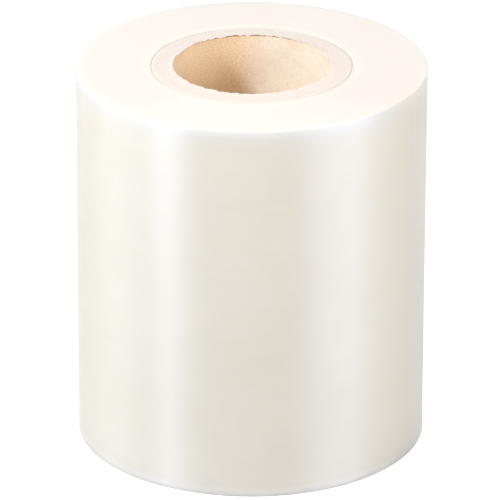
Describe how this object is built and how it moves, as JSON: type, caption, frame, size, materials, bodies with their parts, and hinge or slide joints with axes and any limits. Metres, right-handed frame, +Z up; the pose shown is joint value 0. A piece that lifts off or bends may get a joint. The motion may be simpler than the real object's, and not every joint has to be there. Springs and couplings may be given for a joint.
{
  "type": "roll of sealing film",
  "caption": "Wide roll of clear sealing film wound tight on a thick cardboard core tube, standing on one end, with an open bore for a mandrel.",
  "frame": {"origin": "middle of the lower end of the roll, on the surface that the roll stands on", "axes": "+Z up along the roll's axis, from the end it stands on to the end with the burr; +X and +Y are any two radii at a right angle"},
  "size_m": [0.1686, 0.1686, 0.1886],
  "materials": {
    "film": "glossy, milky where many clear turns lie together",
    "core_board": "matte spirally wound board with sawn, fibrous ends"
  },
  "bodies": {
    "root": {"film_winding": "film", "core_tube": "core_board"}
  },
  "joints": []
}
